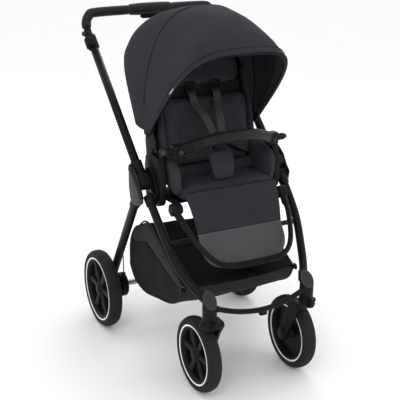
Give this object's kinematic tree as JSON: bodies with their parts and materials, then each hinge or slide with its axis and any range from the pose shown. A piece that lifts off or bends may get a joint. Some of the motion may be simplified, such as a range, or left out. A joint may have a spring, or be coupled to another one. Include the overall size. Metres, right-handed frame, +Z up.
{
  "type": "baby stroller",
  "caption": "Folding baby stroller with swivel front wheels, telescoping handle, reclining seat, canopy, footrest, bumper bar and basket.",
  "frame": {"origin": "centre of the bounding box's footprint, on the ground", "axes": "+Z up, the stroller faces -Y, +X is the sitting child's left side and -X their right side"},
  "size_m": [0.581, 0.8445, 1.112],
  "materials": {
    "frame_tube": "matte black coat",
    "axle_steel": "plain steel",
    "dark_plastic": "fine grained",
    "tyre_rubber": "matte foam rubber",
    "cable_cover": "matte",
    "padded_leather": "grained synthetic leather",
    "seat_fabric": "plain woven, charcoal"
  },
  "bodies": {
    "frame": {"front_leg_left": "frame_tube", "front_leg_right": "frame_tube", "front_cross_tube": "frame_tube", "middle_cross_tube": "frame_tube", "caster_head_left": "dark_plastic", "caster_head_right": "dark_plastic", "basket": "seat_fabric"},
    "push_frame": {"fold_housing_left": "dark_plastic", "fold_housing_right": "dark_plastic", "side_tube_left": "frame_tube", "side_tube_right": "frame_tube", "tube_collar_left": "dark_plastic", "tube_collar_right": "dark_plastic"},
    "handle": {"handle_tube": "frame_tube", "handle_grip": "padded_leather"},
    "handle_trigger": {"handle_trigger": "dark_plastic"},
    "rear_frame": {"rear_leg_left": "frame_tube", "rear_leg_right": "frame_tube", "rear_axle": "axle_steel", "brake_drum_left": "dark_plastic", "brake_drum_right": "dark_plastic", "brake_cable": "cable_cover"},
    "brake_pedal": {"brake_pedal": "dark_plastic"},
    "seat": {"seat_hub_left": "dark_plastic", "seat_hub_right": "dark_plastic", "seat_frame": "frame_tube", "seat_cushion": "seat_fabric", "crotch_pad": "seat_fabric", "harness_buckle": "dark_plastic"},
    "backrest": {"backrest_board": "dark_plastic", "backrest_pad": "seat_fabric", "canopy": "seat_fabric", "shoulder_strap_left": "seat_fabric", "shoulder_strap_right": "seat_fabric"},
    "recline_lever": {"recline_lever": "dark_plastic"},
    "canopy_front": {"front_rib": "frame_tube"},
    "canopy_rear": {"rear_rib": "frame_tube"},
    "footrest": {"footrest_tube": "frame_tube", "calf_panel": "padded_leather"},
    "bumper": {"bumper_bar": "padded_leather"},
    "rear_wheel_left": {"rear_tyre_left": "tyre_rubber", "rear_rim_left": "dark_plastic"},
    "front_wheel_left": {"front_tyre_left": "tyre_rubber", "front_rim_left": "dark_plastic"},
    "caster_left": {"caster_fork_left": "dark_plastic"},
    "swivel_lock_left": {"swivel_lock_left": "dark_plastic"},
    "seat_release_left": {"seat_release_left": "dark_plastic"},
    "handle_button_left": {"handle_button_left": "dark_plastic"},
    "footrest_button_left": {"footrest_button_left": "dark_plastic"},
    "bumper_button_left": {"bumper_button_left": "dark_plastic"},
    "rear_wheel_right": {"rear_tyre_right": "tyre_rubber", "rear_rim_right": "dark_plastic"},
    "front_wheel_right": {"front_tyre_right": "tyre_rubber", "front_rim_right": "dark_plastic"},
    "caster_right": {"caster_fork_right": "dark_plastic"},
    "swivel_lock_right": {"swivel_lock_right": "dark_plastic"},
    "seat_release_right": {"seat_release_right": "dark_plastic"},
    "handle_button_right": {"handle_button_right": "dark_plastic"},
    "footrest_button_right": {"footrest_button_right": "dark_plastic"},
    "bumper_button_right": {"bumper_button_right": "dark_plastic"}
  },
  "joints": [
    {"name": "frame_fold", "type": "hinge", "parent": "frame", "child": "push_frame", "pos_m": [0, -0.05825, 0.6032], "axis": [1, 0, 0], "range_deg": [0, 130]},
    {"name": "rear_fold", "type": "hinge", "parent": "frame", "child": "rear_frame", "pos_m": [0, -0.05825, 0.6032], "axis": [1, 0, 0], "range_deg": [-28, 0]},
    {"name": "handle_height", "type": "slide", "parent": "push_frame", "child": "handle", "axis": [0, 0.7455, 0.6665], "range_m": [0, 0.1]},
    {"name": "handle_trigger_press", "type": "slide", "parent": "handle", "child": "handle_trigger", "axis": [0, 0, 1], "range_m": [0, 0.0035], "stiffness_N_per_m": 900},
    {"name": "handle_button_left_press", "type": "slide", "parent": "handle", "child": "handle_button_left", "axis": [1, 0, 0], "range_m": [0, 0.003], "stiffness_N_per_m": 900},
    {"name": "handle_button_right_press", "type": "slide", "parent": "handle", "child": "handle_button_right", "axis": [-1, 0, 0], "range_m": [0, 0.003], "stiffness_N_per_m": 900},
    {"name": "brake_pedal_press", "type": "hinge", "parent": "rear_frame", "child": "brake_pedal", "pos_m": [0, 0.22275, 0.133], "axis": [-1, 0, 0], "range_deg": [0, 20]},
    {"name": "rear_wheel_left_spin", "type": "hinge", "parent": "rear_frame", "child": "rear_wheel_left", "pos_m": [-0.268, 0.22275, 0.133], "axis": [1, 0, 0], "continuous": true},
    {"name": "rear_wheel_right_spin", "type": "hinge", "parent": "rear_frame", "child": "rear_wheel_right", "pos_m": [0.268, 0.22275, 0.133], "axis": [1, 0, 0], "continuous": true},
    {"name": "caster_left_swivel", "type": "hinge", "parent": "frame", "child": "caster_left", "pos_m": [-0.167, -0.37325, 0.2697], "axis": [0, 0, 1], "continuous": true},
    {"name": "swivel_lock_left_lift", "type": "slide", "parent": "caster_left", "child": "swivel_lock_left", "axis": [0, 0, 1], "range_m": [0, 0.004]},
    {"name": "front_wheel_left_spin", "type": "hinge", "parent": "caster_left", "child": "front_wheel_left", "pos_m": [-0.165, -0.30425, 0.118], "axis": [1, 0, 0], "continuous": true},
    {"name": "caster_right_swivel", "type": "hinge", "parent": "frame", "child": "caster_right", "pos_m": [0.167, -0.37325, 0.2697], "axis": [0, 0, 1], "continuous": true},
    {"name": "swivel_lock_right_lift", "type": "slide", "parent": "caster_right", "child": "swivel_lock_right", "axis": [0, 0, 1], "range_m": [0, 0.004]},
    {"name": "front_wheel_right_spin", "type": "hinge", "parent": "caster_right", "child": "front_wheel_right", "pos_m": [0.165, -0.30425, 0.118], "axis": [1, 0, 0], "continuous": true},
    {"name": "seat_lift", "type": "slide", "parent": "frame", "child": "seat", "axis": [0, 0, 1], "range_m": [0, 0.12]},
    {"name": "seat_release_left_pull", "type": "slide", "parent": "seat", "child": "seat_release_left", "axis": [0, 0, 1], "range_m": [0, 0.008], "stiffness_N_per_m": 600},
    {"name": "seat_release_right_pull", "type": "slide", "parent": "seat", "child": "seat_release_right", "axis": [0, 0, 1], "range_m": [0, 0.008], "stiffness_N_per_m": 600},
    {"name": "recline", "type": "hinge", "parent": "seat", "child": "backrest", "pos_m": [0, -0.01925, 0.575], "axis": [-1, 0, 0], "range_deg": [0, 38], "deforming": ["shoulder_strap_left", "shoulder_strap_right"]},
    {"name": "recline_lever_pull", "type": "slide", "parent": "backrest", "child": "recline_lever", "axis": [0, 0.454, 0.891], "range_m": [0, 0.01], "stiffness_N_per_m": 600},
    {"name": "canopy_fold", "type": "hinge", "parent": "backrest", "child": "canopy_front", "pos_m": [0, 0.01075, 0.745], "axis": [-1, 0, 0], "range_deg": [0, 62], "deforming": ["canopy"]},
    {"name": "canopy_gather", "type": "hinge", "parent": "backrest", "child": "canopy_rear", "pos_m": [0, 0.01075, 0.745], "axis": [-1, 0, 0], "range_deg": [0, 25]},
    {"name": "footrest_angle", "type": "hinge", "parent": "seat", "child": "footrest", "pos_m": [0, -0.18025, 0.546], "axis": [-1, 0, 0], "range_deg": [-15, 35]},
    {"name": "footrest_button_left_press", "type": "slide", "parent": "footrest", "child": "footrest_button_left", "axis": [1, 0, 0], "range_m": [0, 0.003], "stiffness_N_per_m": 900},
    {"name": "footrest_button_right_press", "type": "slide", "parent": "footrest", "child": "footrest_button_right", "axis": [-1, 0, 0], "range_m": [0, 0.003], "stiffness_N_per_m": 900},
    {"name": "bumper_swing", "type": "hinge", "parent": "seat", "child": "bumper", "pos_m": [0, -0.14925, 0.717], "axis": [1, 0, 0], "range_deg": [0, 60]},
    {"name": "bumper_button_left_press", "type": "slide", "parent": "bumper", "child": "bumper_button_left", "axis": [1, 0, 0], "range_m": [0, 0.003], "stiffness_N_per_m": 900},
    {"name": "bumper_button_right_press", "type": "slide", "parent": "bumper", "child": "bumper_button_right", "axis": [-1, 0, 0], "range_m": [0, 0.003], "stiffness_N_per_m": 900}
  ],
  "couplings": [
    {"joint": "rear_fold", "follows": "frame_fold", "ratio": -0.2},
    {"joint": "canopy_gather", "follows": "canopy_fold", "ratio": 0.4}
  ]
}
